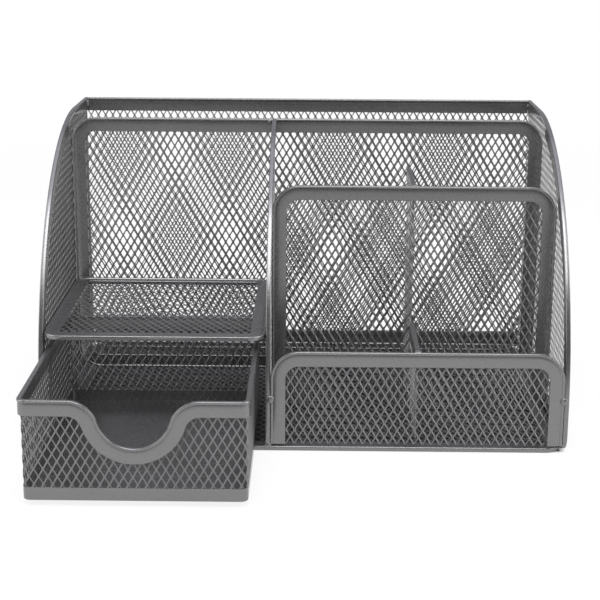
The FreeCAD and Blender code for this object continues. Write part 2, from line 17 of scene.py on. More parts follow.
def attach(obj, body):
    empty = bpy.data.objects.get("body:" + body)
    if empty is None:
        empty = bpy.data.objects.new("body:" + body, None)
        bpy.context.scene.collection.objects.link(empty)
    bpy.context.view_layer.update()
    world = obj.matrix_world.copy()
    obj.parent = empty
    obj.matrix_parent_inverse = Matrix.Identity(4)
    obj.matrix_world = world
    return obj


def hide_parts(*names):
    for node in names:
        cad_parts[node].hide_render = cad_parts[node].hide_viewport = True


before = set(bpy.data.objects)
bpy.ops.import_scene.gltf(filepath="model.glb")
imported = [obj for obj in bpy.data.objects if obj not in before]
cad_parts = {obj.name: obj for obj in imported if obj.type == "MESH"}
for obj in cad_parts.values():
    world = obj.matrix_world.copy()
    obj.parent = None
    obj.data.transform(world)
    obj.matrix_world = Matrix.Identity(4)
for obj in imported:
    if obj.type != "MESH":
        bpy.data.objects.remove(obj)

log = logging.getLogger("desk_stand")
MM = 0.001
# How near points are when they are merged, close a seam or lie on a cut, in millimetres.
MERGE_GAP, SEAM_GAP, CUT_GAP = 0.01, 0.004, 0.0005
# The degrees from one section to the next on the wide curves.
FINE_TURN = 4.0
RIGHT, REAR, UP = Vector((1, 0, 0)), Vector((0, 1, 0)), Vector((0, 0, 1))


# ---------------------------------------------------------------- shader maths


class Value:
    """A node's output that takes part in Python arithmetic, adding Math nodes."""

    def __init__(self, graph: "Graph", socket: bpy.types.NodeSocket) -> None:
        """Keep the socket and the graph that it belongs to."""
        self.graph = graph
        self.socket = socket

    def _join(self, operation: str, *values: object) -> "Value":
        """Add one Math node.

        Args:
            operation: The Math node's operation.
            *values: Numbers or other values, in the order of its sockets.

        Returns:
            The result.
        """
        return self.graph.add("ShaderNodeMath", {"operation": operation}, *values)

    def __add__(self, other: object) -> "Value":
        """Add."""
        return self._join("ADD", self, other)

    __radd__ = __add__

    def __sub__(self, other: object) -> "Value":
        """Subtract."""
        return self._join("SUBTRACT", self, other)

    def __rsub__(self, other: object) -> "Value":
        """Subtract this from a number."""
        return self._join("SUBTRACT", other, self)

    def __mul__(self, other: object) -> "Value":
        """Multiply."""
        return self._join("MULTIPLY", self, other)

    __rmul__ = __mul__

    def __truediv__(self, other: object) -> "Value":
        """Divide."""
        return self._join("DIVIDE", self, other)

    def clamped(self) -> "Value":
        """Keep the value between 0 and 1."""
        return self.graph.add("ShaderNodeClamp", {}, self)


class Graph:
    """The node tree of one material."""

    def __init__(self, name: str) -> None:
        """Start an empty material.

        Args:
            name: The material's name.
        """
        self.material = bpy.data.materials.new(name)
        self.material.use_nodes = True
        self.tree = self.material.node_tree
        self.tree.nodes.clear()

    def add(self, kind: str, settings: dict[str, object], *inputs: object, out: int | str = 0,
            **named: object) -> Value:
        """Add a node.

        Args:
            kind: The node's type.
            settings: Its settings, made before its sockets are filled.
            *inputs: Numbers, colours or values for its first sockets; None skips one.
            out: The output wanted, by number or name.
            **named: The same for sockets by name, with _ for a space.

        Returns:
            The output, as a value.
        """
        node = self.tree.nodes.new(kind)
        for setting, choice in settings.items():
            setattr(node, setting, choice)
        for key, given in [*enumerate(inputs), *named.items()]:
            if given is None:
                continue
            socket = node.inputs[key if isinstance(key, int) else key.replace("_", " ")]
            if isinstance(given, Value):
                self.tree.links.new(given.socket, socket)
            else:
                socket.default_value = given
        return Value(self, node.outputs[out])

    def blend(self, factor: Value, first: object, second: object) -> Value:
        """Mix two colours.

        Args:
            factor: The share of the second colour.
            first: A colour or a value.
            second: A colour or a value.

        Returns:
            The mixed colour.
        """
        unused = [None] * 5
        return self.add("ShaderNodeMix", {"data_type": "RGBA"}, factor, *unused, first, second,
                        out=2)

    def speckle(self, per_metre: float, detail: float, rough: float = 0.5) -> Value:
        """Make a noise that stays fixed to the piece.

        Args:
            per_metre: How many blotches there are in a metre.
            detail: How many finer layers lie on it.
            rough: How strong the finer layers are.

        Returns:
            The noise, around 0.5.
        """
        place = self.add("ShaderNodeTexCoord", {}, out="Object")
        return self.add("ShaderNodeTexNoise", {}, place, None, per_metre, detail, rough)

    def finish(self, shader: Value) -> bpy.types.Material:
        """Join a shader to the surface and give the material."""
        end = self.tree.nodes.new("ShaderNodeOutputMaterial")
        self.tree.links.new(shader.socket, end.inputs["Surface"])
        return self.material


# ---------------------------------------------------------------- finishes


def grey(level: float, warm: float = 0.0) -> tuple[float, float, float, float]:
    """Make a grey that leans to red, or to blue where warm is below zero."""
    return (level * (1 + warm), level, level * (1 - warm), 1.0)


@dataclass(frozen=True)
class SteelPaint:
    """Grey lacquer with fine metal flake, baked on steel."""

    name: str
    slot: str
    shade: float
    flake_shade: float
    # Dust and a painted cool top light: the colour that upward faces are blended towards, lighter
    # and bluer than the paint.
    dust_and_top_light_shade: float
    metallic: float
    roughness: float
    flakes_per_metre: float = 4200.0
    peel_per_metre: float = 750.0
    mottle_per_metre: float = 420.0
    drift_per_metre: float = 38.0
    glint_contrast: float = 5.0
    mottle_contrast: float = 0.8
    drift_contrast: float = 1.8
    glint_share: float = 0.24
    patch_share: float = 0.2
    dust_and_top_light_share: float = 0.3
    dust_and_top_light_tint: float = -0.02
    glint_polish: float = 0.05
    patch_rough: float = 0.08
    dust_rough: float = 0.1
    peel: float = 0.05
    peel_height: float = 0.0002
    skin_shares: tuple[float, float] = (0.7, 0.3)

    def material(self) -> bpy.types.Material:
        """Build the material, or give the one already built.

        Returns:
            The material.
        """
        built = bpy.data.materials.get(self.name)
        if built:
            return built
        graph = Graph(self.name)
        drift = graph.speckle(self.drift_per_metre, 2.0)
        flake = graph.speckle(self.flakes_per_metre, 1.0)
        mottle = graph.speckle(self.mottle_per_metre, 3.0, 0.6)
        glint = ((flake - 0.5) * self.glint_contrast + 0.5).clamped()
        patch = ((drift - 0.5) * self.drift_contrast + (mottle - 0.5) * self.mottle_contrast
                 + 0.5).clamped()
        facing = graph.add("ShaderNodeSeparateXYZ", {}, graph.add(
            "ShaderNodeNewGeometry", {}, out="Normal"), out="Z")
        # Dust and a painted cool top light: faces whose normal points up are painted lighter and
        # bluer.
        dust_and_top_light = (facing * 0.5 * mottle).clamped()
        base = graph.blend(glint * self.glint_share + patch * self.patch_share,
                           grey(self.shade), grey(self.flake_shade))
        base = graph.blend(dust_and_top_light * self.dust_and_top_light_share, base, grey(self.dust_and_top_light_shade, self.dust_and_top_light_tint))
        rough = (self.roughness + (patch - 0.5) * self.patch_rough
                 - (glint - 0.5) * self.glint_polish + dust_and_top_light * self.dust_rough)
        peel = graph.speckle(self.peel_per_metre, 2.0)
        peel_share, flake_share = self.skin_shares
        skin = graph.add("ShaderNodeBump", {}, Strength=self.peel, Distance=self.peel_height,
                         Height=peel * peel_share + flake * flake_share)
        shader = graph.add("ShaderNodeBsdfPrincipled", {}, Base_Color=base, Roughness=rough,
                           Metallic=self.metallic, Normal=skin, Specular_IOR_Level=0.5)
        return graph.finish(shader)


NET_PAINT = SteelPaint("net_paint", "painted_net", 0.20, 0.31, 0.30, 0.85, 0.36)
STRIP_PAINT = SteelPaint("strip_paint", "painted_strip", 0.20, 0.29, 0.28, 0.85, 0.27)
# The pan's upward faces take a darker dust-and-top-light colour than the other paints, a painted
# shade on its floor.
PAN_PAINT = SteelPaint("pan_paint", "painted_sheet", 0.19, 0.27, 0.22, 0.85, 0.22)
WELD_PAINT = SteelPaint("weld_paint", "weld_bead", 0.20, 0.28, 0.26, 0.85, 0.34, peel=0.3)


# ---------------------------------------------------------------- pieces


def verts_in(made: Iterable[object]) -> list[bmesh.types.BMVert]:
    """Pick the vertices from what an operator made."""
    return [item for item in made if isinstance(item, bmesh.types.BMVert)]


def edges_in(made: Iterable[object]) -> list[bmesh.types.BMEdge]:
    """Pick the edges from what an operator made."""
    return [item for item in made if isinstance(item, bmesh.types.BMEdge)]


def whole(mesh: bmesh.types.BMesh) -> list[object]:
    """List all the vertices, edges and faces of a mesh."""
    return mesh.verts[:] + mesh.edges[:] + mesh.faces[:]


def hand_over(mesh: bmesh.types.BMesh, name: str, paint: SteelPaint, body: str,
              nodes: Iterable[str], crease: float | None = 32.0) -> bpy.types.Object:
    """Turn a finished bmesh into a piece of the part.

    Args:
        mesh: The bmesh, in millimetres. It is freed.
        name: The piece's name.
        paint: Its finish.
        body: The body that it moves with.
        nodes: The nodes that it stands for.
        crease: The angle in degrees over which an edge is sharp; None leaves faces flat.

    Returns:
        The piece's object.
    """
    bmesh.ops.scale(mesh, vec=Vector((MM, MM, MM)), verts=mesh.verts)
    if crease is not None:
        for face in mesh.faces:
            face.smooth = True
        for edge in mesh.edges:
            shared = len(edge.link_faces) == 2
            edge.smooth = shared and edge.calc_face_angle() < math.radians(crease)
    data = bpy.data.meshes.new(name)
    mesh.to_mesh(data)
    mesh.free()
    data.materials.append(paint.material())
    piece = bpy.data.objects.new(name, data)
    bpy.context.scene.collection.objects.link(piece)
    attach(piece, body)
    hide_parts(*nodes)
    log.info("%s: %d faces on %s", name, len(data.polygons), body)
    return piece


@dataclass(frozen=True)
class Seat:
    """A flat sheet's place: its origin and the directions that it runs along and up."""

    origin: tuple[float, float, float]
    along: Vector
    upward: Vector

    def matrix(self) -> Matrix:
        """Give the turn and move from the sheet's own X, Y and Z to the part's frame."""
        turn = Matrix((self.along, self.upward, self.along.cross(self.upward))).transposed()
        return Matrix.Translation(self.origin) @ turn.to_4x4()


class Tilt(Enum):
    """The side that a net's strands lean to, seen from its outer face."""

    LEFT = 1.0
    RIGHT = -1.0


@dataclass
class Net:
    """Expanded steel net, made of open diamonds whose strands lean to one side."""

    low: tuple[float, float]
    high: tuple[float, float]
    tilt: Tilt = Tilt.LEFT
    pitch: float = 3.57
    rise: float = 6.07
    strand: float = 0.56
    gauge: float = 0.18
    lean: float = 0.16
    hole_corner: float = 0.34
    shift: tuple[float, float] = (0.0, 0.0)
    mesh: bmesh.types.BMesh = field(default_factory=bmesh.new)

    def weave(self) -> "Net":
        """Fill the sheet's rectangle with diamonds, merged into one sheet."""
        self._cut_diamond()
        self._repeat(Vector((self.pitch / 2, self.rise / 2, 0)), 2)
        columns = math.ceil((self.high[0] - self.low[0]) / self.pitch) + 2
        rows = math.ceil((self.high[1] - self.low[1]) / self.rise) + 2
        self._repeat(Vector((self.pitch, 0, 0)), columns)
        self._repeat(Vector((0, self.rise, 0)), rows)
        bmesh.ops.translate(self.mesh, verts=self.mesh.verts, vec=Vector((
            self.low[0] - self.pitch + self.shift[0], self.low[1] - self.rise + self.shift[1], 0)))
        bmesh.ops.remove_doubles(self.mesh, verts=self.mesh.verts, dist=MERGE_GAP)
        for corner, outward in ((self.low, (-1, 0)), (self.low, (0, -1)), (self.high, (1, 0)),
                                (self.high, (0, 1))):
            self.trim(corner, outward)
        return self

    def _cut_diamond(self) -> None:
        """Make one diamond frame: a rhombus whose hole's two sides lean to opposite faces."""
        made = bmesh.ops.create_circle(self.mesh, cap_ends=True, segments=4, radius=1.0)
        bmesh.ops.scale(self.mesh, vec=Vector((self.pitch / 2, self.rise / 2, 1)),
                        verts=made["verts"])
        rim = list(self.mesh.verts)
        hole = self.mesh.faces[:][0]
        bmesh.ops.inset_individual(self.mesh, faces=[hole], thickness=self.strand / 2,
                                   use_even_offset=True)
        bmesh.ops.bevel(self.mesh, geom=list(hole.verts), offset=self.hole_corner,
                        affect="VERTICES", segments=1, profile=0.5, material=-1)
        hole = max(self.mesh.faces, key=lambda face: face.calc_area())
        loop = list(hole.verts)
        strays = {vert: min(rim, key=lambda corner, at=vert.co: (corner.co - at).length)
                  for vert in self.mesh.verts if vert not in loop and vert not in rim}
        bmesh.ops.delete(self.mesh, geom=[hole], context="FACES_ONLY")
        bmesh.ops.weld_verts(self.mesh, targetmap=strays)
        for side in (-1, 1):
            bmesh.ops.translate(self.mesh, vec=Vector((0, 0, -side * self.lean * self.tilt.value)),
                                verts=[vert for vert in loop if vert.co.x * side > 0])

    def _repeat(self, step: Vector, count: int) -> None:
        """Copy all that is made so far along a step.

        Args:
            step: The move from one copy to the next.
            count: How many there are in the end.
        """
        first = whole(self.mesh)
        for index in range(1, count):
            made = bmesh.ops.duplicate(self.mesh, geom=first)["geom"]
            bmesh.ops.translate(self.mesh, verts=verts_in(made), vec=step * index)

    def trim(self, point: tuple[float, float], outward: tuple[float, float]) -> "Net":
        """Cut the sheet along a line and drop what lies outside.

        Args:
            point: A point on the line.
            outward: The direction that is dropped.

        Returns:
            The net.
        """
        bmesh.ops.bisect_plane(self.mesh, geom=whole(self.mesh), dist=CUT_GAP, clear_outer=True,
                               plane_co=Vector((*point, 0)), plane_no=Vector((*outward, 0)))
        return self

    def round_corners(self, radius: float, low_too: bool = True) -> "Net":
        """Take the corners off where a strip hides the cut.

        Args:
            radius: The corner's radius.
            low_too: Whether the low corners go as well.

        Returns:
            The net.
        """
        reach = radius * (1 - math.sqrt(0.5))
        ends = [(self.low[0], -1), (self.high[0], 1)]
        levels = [(self.high[1], 1)] + ([(self.low[1], -1)] if low_too else [])
        for side, left_right in ends:
            for level, up_down in levels:
                self.trim((side - left_right * reach, level - up_down * reach),
                          (left_right, up_down))
        return self

    def round_arc(self, centre: tuple[float, float], radius: float, first: float,
                  last: float, cuts: int = 10) -> "Net":
        """Trim along an arc by a fan of straight cuts that touch it.

        Args:
            centre: The arc's centre.
            radius: Its radius.
            first: The direction in degrees where it starts.
            last: The direction where it ends.
            cuts: How many cuts there are.

        Returns:
            The net.
        """
        for index in range(cuts):
            turn = math.radians(first + (last - first) * (index + 0.5) / cuts)
            way = (math.cos(turn), math.sin(turn))
            self.trim((centre[0] + radius * way[0], centre[1] + radius * way[1]), way)
        return self

    def drop(self, outside: Callable[[Vector], bool]) -> "Net":
        """Drop the faces whose middle lies outside a shape."""
        bmesh.ops.delete(self.mesh, context="FACES", geom=[
            face for face in self.mesh.faces if outside(face.calc_center_median())])
        return self

    def hang(self, name: str, seat: Seat | None, body: str, *nodes: str) -> bpy.types.Object:
        """Put the net in its place as a piece, with the thickness of its steel.

        Args:
            name: The piece's name.
            seat: The sheet's place, or None where it is there already.
            body: The body that it moves with.
            *nodes: The nodes that it stands for.

        Returns:
            The piece.
        """
        if seat:
            bmesh.ops.transform(self.mesh, matrix=seat.matrix(), verts=self.mesh.verts)
        piece = hand_over(self.mesh, name, NET_PAINT, body, nodes, crease=None)
        sheet = piece.modifiers.new("steel", "SOLIDIFY")
        sheet.thickness = self.gauge * MM
        sheet.offset = 0.0
        return piece


@dataclass
class StripSection:
    """The section of a folded strip: a rolled bead, a crease and a flat hem over the net."""

    width: float = 6.3
    bead: float = 0.95
    bead_half: float = 1.0
    crease: float = 1.25
    crease_half: float = 0.62
    hem_half: float = 0.8
    hem_curve: tuple[tuple[float, float], ...] = ((0.5, 0.5), (1.2, 0.15), (2.1, 0.0))
    edge_round: tuple[float, int] = (0.42, 3)
    groove_round: tuple[float, int] = (0.25, 2)
    hem_round: tuple[float, int] = (0.12, 1)
    proud: float = 0.0
    bead_only: bool = False

    def draw(self, mesh: bmesh.types.BMesh, place: Callable[[float, float], Vector],
             ) -> list[bmesh.types.BMEdge]:
        """Draw the section's face and round its corners.

        Args:
            mesh: The mesh to draw in.
            place: Gives a point from its depth below the strip's edge and its side.

        Returns:
            The face's edges.
        """
        half = [(0.0, self.bead_half), (self.bead * (2 if self.bead_only else 1), self.bead_half)]
        if not self.bead_only:
            rise = self.hem_half - self.crease_half
            half += [(self.crease, self.crease_half)]
            half += [(self.crease + depth, self.hem_half - rise * left)
                     for depth, left in self.hem_curve]
            half += [(self.width, self.hem_half)]
        points = half + [(depth, -side) for depth, side in reversed(half)]
        corners = [mesh.verts.new(place(depth, side + self.proud)) for depth, side in points]
        mesh.faces.new(corners)
        for index, (offset, segments) in ((0, self.edge_round), (1, self.groove_round),
                                          (len(half) - 1, self.hem_round)):
            made = bmesh.ops.bevel(mesh, geom=[corners[index], corners[-1 - index]], offset=offset,
                                   affect="VERTICES", segments=segments, profile=0.5, material=-1)
            face = made["verts"][0].link_faces[0]
            if self.bead_only and index == 1:
                break
        return list(face.edges)


@dataclass
class Strip:
    """A folded strip, drawn along straight runs and round turns."""

    at: Vector
    heading: Vector
    inward: Vector
    section: StripSection = field(default_factory=StripSection)
    mesh: bmesh.types.BMesh = field(default_factory=bmesh.new)
    step: float = 7.5

    def __post_init__(self) -> None:
        """Draw the section at the strip's start."""
        across = self.heading.cross(self.inward)
        start = self.at.copy()
        self.tip = self.section.draw(
            self.mesh, lambda depth, side: start + self.inward * depth + across * side)
        self.first_cap = self.tip[0].link_faces[0]

    def run(self, length: float) -> "Strip":
        """Go straight on by a length."""
        made = bmesh.ops.extrude_edge_only(self.mesh, edges=self.tip)["geom"]
        verts = verts_in(made)
        bmesh.ops.translate(self.mesh, verts=verts, vec=self.heading * length)
        ends = set(verts)
        self.tip = [edge for edge in edges_in(made) if set(edge.verts) <= ends]
        self.at = self.at + self.heading * length
        return self

    def turn(self, radius: float, degrees: float, toward: Vector | None = None) -> "Strip":
        """Go round an arc.

        Args:
            radius: The arc's radius at the strip's edge.
            degrees: How far it turns.
            toward: The direction of its centre; the strip's inner side if left out.

        Returns:
            The strip.
        """
        toward = self.inward if toward is None else toward
        centre = self.at + toward * radius
        axis = self.heading.cross(toward)
        verts = list({vert for edge in self.tip for vert in edge.verts})
        made = bmesh.ops.spin(
            self.mesh, geom=verts + self.tip, cent=centre, axis=axis, dvec=Vector(),
            angle=math.radians(degrees), steps=max(3, math.ceil(degrees / self.step)),
            use_merge=False, use_duplicate=False)
        self.tip = edges_in(made["geom_last"])
        turned = Matrix.Rotation(math.radians(degrees), 3, axis)
        self.at = centre + turned @ (self.at - centre)
        self.heading = turned @ self.heading
        self.inward = turned @ self.inward
        return self

    def join(self) -> "Strip":
        """Close the strip on its own start."""
        bmesh.ops.delete(self.mesh, geom=[self.first_cap], context="FACES_ONLY")
        bmesh.ops.remove_doubles(self.mesh, verts=self.mesh.verts, dist=SEAM_GAP)
        return self

    def cut(self, point: Vector, normal: Vector, **dropped: bool) -> "Strip":
        """Cut the strip by a plane and close the cut.

        Args:
            point: A point of the plane.
            normal: The plane's normal.
            **dropped: clear_inner or clear_outer, for the side that goes.

        Returns:
            The strip.
        """
        made = bmesh.ops.bisect_plane(self.mesh, geom=whole(self.mesh), dist=CUT_GAP,
                                      plane_co=point, plane_no=normal, **dropped)
        bmesh.ops.holes_fill(self.mesh, sides=0, edges=edges_in(made["geom_cut"]))
        return self

    def cap(self) -> "Strip":
        """Close the strip's open end."""
        bmesh.ops.contextual_create(self.mesh, geom=self.tip)
        return self

    def fit(self, name: str, body: str, *nodes: str) -> bpy.types.Object:
        """Hand the strip over as a piece.

        Args:
            name: The piece's name.
            body: The body that it moves with.
            *nodes: The nodes that it stands for.

        Returns:
            The piece.
        """
        bmesh.ops.recalc_face_normals(self.mesh, faces=self.mesh.faces)
        return hand_over(self.mesh, name, STRIP_PAINT, body, nodes)


# ---------------------------------------------------------------- housing


@dataclass(frozen=True)
class Stand:
    """The sizes that the housing's panels share."""

    half_width: float = 110.0
    front: float = -74.0
    rear: float = 74.0
    height: float = 128.0
    front_edge: float = 16.0
    thickness: float = 2.0
    net_inset: float = 1.2
    strip_width: float = 6.3
    divider_setback: float = 97.0
    divider_top: float = 125.2
    divider_foot: float = 4.8
    bay_width: float = 92.1
    panel_foot: float = 3.0
    middle_panel: float = -26.0
    middle_top: float = 103.6
    middle_foot: float = 6.6
    front_panel: float = -73.0
    front_top: float = 43.1
    shelf_level: float = 48.3
    weld_overlap: float = 0.7
    base_corner: float = 7.0
    divider_corner: float = 11.0
    shelf_corner: float = 8.0

    @property
    def skin(self) -> float:
        """Half of a panel's thickness."""
        return self.thickness / 2

    @property
    def inner(self) -> float:
        """Half the width between the side panels."""
        return self.half_width - self.thickness

    @property
    def divider_left(self) -> float:
        """The left face of the centre divider."""
        return self.bay_width - self.inner

    @property
    def divider_right(self) -> float:
        """The right face of the centre divider."""
        return self.divider_left + self.thickness

    @property
    def divider_front(self) -> float:
        """The front face of the rear divider."""
        return self.front + self.divider_setback

    @property
    def cup_middle(self) -> float:
        """The middle of the cup dividers."""
        return (self.divider_right + self.inner) / 2


STAND = Stand()


@dataclass
class SidePanel:
    """One side: a net in a strip that follows its foot, its front, its curve and its top."""

    name: str
    middle: float
    foot_radius: float = 7.0
    foot_cut: float = 3.0
    gap_start: float = 88.0
    gap_end: float = 106.0
    tail_drop: float = 2.9
    rear_gap: float = 0.1

    def build(self) -> None:
        """Make the strip and the net."""
        self.roll_strip()
        self.hang_net()

    def roll_strip(self) -> None:
        """Sweep the strip; its hem stops short on the curve and tapers back in behind that."""
        curve = STAND.height - STAND.front_edge
        depth = STAND.rear - STAND.front
        gap_turn = math.degrees(math.acos((curve - self.gap_start) / curve))
        end_turn = math.degrees(math.acos((curve - self.gap_end) / curve))
        strip = Strip(Vector((self.middle, STAND.rear, 0)), -REAR, UP, step=FINE_TURN)
        strip.run(depth - self.foot_radius).turn(self.foot_radius, 90)
        strip.run(STAND.front_edge - self.foot_radius).turn(curve, gap_turn).cap()
        bead = Strip(strip.at, strip.heading, strip.inward, StripSection(bead_only=True),
                     strip.mesh, FINE_TURN)
        bead.turn(curve, end_turn - gap_turn).cap()
        tail = Strip(bead.at, bead.heading, bead.inward, step=FINE_TURN)
        tail.turn(curve, 90 - end_turn).run(depth - curve).cap()
        start_depth = STAND.front + self.gap_end
        bead_low = STAND.height - self.tail_drop
        slope = Vector((0, STAND.height - STAND.strip_width - bead_low, start_depth - STAND.rear))
        tail.cut(Vector((self.middle, start_depth, bead_low)), -slope.normalized(),
                 clear_inner=True)
        tail.fit(self.name + "_strip_end", "housing", self.name + "_rim")
        strip.fit(self.name + "_strip", "housing", self.name + "_rim")

    def hang_net(self) -> None:
        """Cut the net to the side's outline."""
        inset = STAND.net_inset
        curve = STAND.height - STAND.front_edge
        net = Net((STAND.front + inset, inset),
                  (STAND.rear - self.rear_gap, STAND.height - inset)).weave()
        net.round_arc((STAND.front + curve, STAND.front_edge), curve - inset, 90, 180)
        net.trim((STAND.front + self.foot_cut, self.foot_cut), (-1, -1))
        net.hang(self.name + "_mesh", Seat((self.middle, 0, 0), REAR, UP), "housing",
                 self.name + "_net")


@dataclass
class RearPanel:
    """The rear wall: a net between a strip along its top and one along its foot."""

    middle: float = 73.0
    foot: float = 2.0
    foot_width: float = 7.8
    net_overhang: float = 0.9
    net_shift: tuple[float, float] = (0.29, 0.85)

    def build(self) -> None:
        """Make both strips and the net."""
        run = STAND.inner * 2
        for name, level, inward, width in (
                ("rear_top", STAND.height, -UP, STAND.strip_width),
                ("rear_foot", self.foot, UP, self.foot_width)):
            strip = Strip(Vector((-STAND.inner, self.middle, level)), RIGHT, inward,
                          StripSection(width))
            strip.run(run).cap().fit(name + "_strip", "housing", name + "_rim")
        reach = STAND.inner + self.net_overhang
        net = Net((-reach, self.foot + STAND.net_inset), (reach, STAND.height - STAND.net_inset),
                  shift=self.net_shift).weave()
        net.hang("rear_mesh", Seat((0, self.middle, 0), RIGHT, UP), "housing", "rear_net")


@dataclass
class RingPanel:
    """A flat panel with a strip all round: the base, the shelf or the rear divider."""

    name: str
    seat: Seat
    width: float
    length: float
    corner: float
    lean: float = 0.05

    def build(self) -> None:
        """Make the strip and the net, in the seat's plane around its origin."""
        along, upward = self.seat.along, self.seat.upward
        half, reach = self.width / 2, self.length / 2
        strip = Strip(Vector(self.seat.origin) - along * half, upward, along)
        strip.run(reach - self.corner)
        for side in (self.width, self.length, self.width):
            strip.turn(self.corner, 90).run(side - self.corner * 2)
        strip.turn(self.corner, 90).run(reach - self.corner).join()
        strip.fit(self.name + "_strip", "housing", self.name + "_rim")
        inset = STAND.net_inset
        net = Net((inset - half, inset - reach), (half - inset, reach - inset),
                  lean=self.lean).weave()
        net.round_corners(self.corner - inset)
        net.hang(self.name + "_mesh", self.seat, "housing", self.name + "_net")


@dataclass
class CentreDivider:
    """The wall between the drawer bay and the cups, curved like the sides."""

    def build(self) -> None:
        """Make the strip along the front and the curve, and the net."""
        depth = STAND.divider_setback
        rise = STAND.divider_top - STAND.front_edge
        curve = (depth * depth + rise * rise) / (depth * 2)
        middle = STAND.divider_left + STAND.skin
        foot = STAND.thickness
        angle = math.degrees(math.acos((curve - depth) / curve))
        strip = Strip(Vector((middle, STAND.front, foot)), UP, REAR, step=FINE_TURN)
        strip.run(STAND.front_edge - foot).turn(curve, angle).cap()
        strip.cut(Vector((0, STAND.divider_front, 0)), REAR, clear_outer=True)
        strip.fit("centre_divider_strip", "housing", "centre_divider_rim")
        inset = STAND.net_inset
        net = Net((STAND.front + inset, foot), (STAND.divider_front, STAND.divider_top),
                  Tilt.RIGHT).weave()
        net.round_arc((STAND.front + curve, STAND.front_edge), curve - inset, 180 - angle, 180)
        net.hang("centre_divider_mesh", Seat((middle, 0, 0), REAR, UP), "housing",
                 "centre_divider_net")


@dataclass
class CupPanel:
    """A front wall of the cups: a net under an arched strip."""

    name: str
    middle: float
    top: float
    left: float
    right: float
    leg_foot: float
    corner: float = 12.0

    def build(self) -> None:
        """Make the arch and the net."""
        rise = self.top - self.leg_foot - self.corner
        strip = Strip(Vector((self.left, self.middle, self.leg_foot)), UP, RIGHT)
        strip.run(rise).turn(self.corner, 90).run(self.right - self.left - self.corner * 2)
        strip.turn(self.corner, 90).run(rise).cap()
        strip.fit(self.name + "_strip", "housing", self.name + "_rim")
        inset = STAND.net_inset
        net = Net((self.left + inset, STAND.panel_foot), (self.right - inset, self.top - inset),
                  Tilt.RIGHT).weave()
        net.round_corners(self.corner - inset, low_too=False)
        net.hang(self.name + "_mesh", Seat((0, self.middle, 0), RIGHT, UP), "housing",
                 self.name + "_net")


@dataclass
class CupDivider:
    """A wall between two cups, with a strip along its top."""

    name: str
    start: float
    end: float
    top: float

    def build(self) -> None:
        """Make the strip and the net."""
        middle = STAND.cup_middle
        strip = Strip(Vector((middle, self.start, self.top)), REAR, -UP)
        strip.run(self.end - self.start).cap()
        strip.fit(self.name + "_strip", "housing", self.name + "_rim")
        net = Net((self.start, STAND.panel_foot), (self.end, self.top - STAND.net_inset)).weave()
        net.hang(self.name + "_mesh", Seat((middle, 0, 0), REAR, UP), "housing",
                 self.name + "_net")


# ---------------------------------------------------------------- drawer


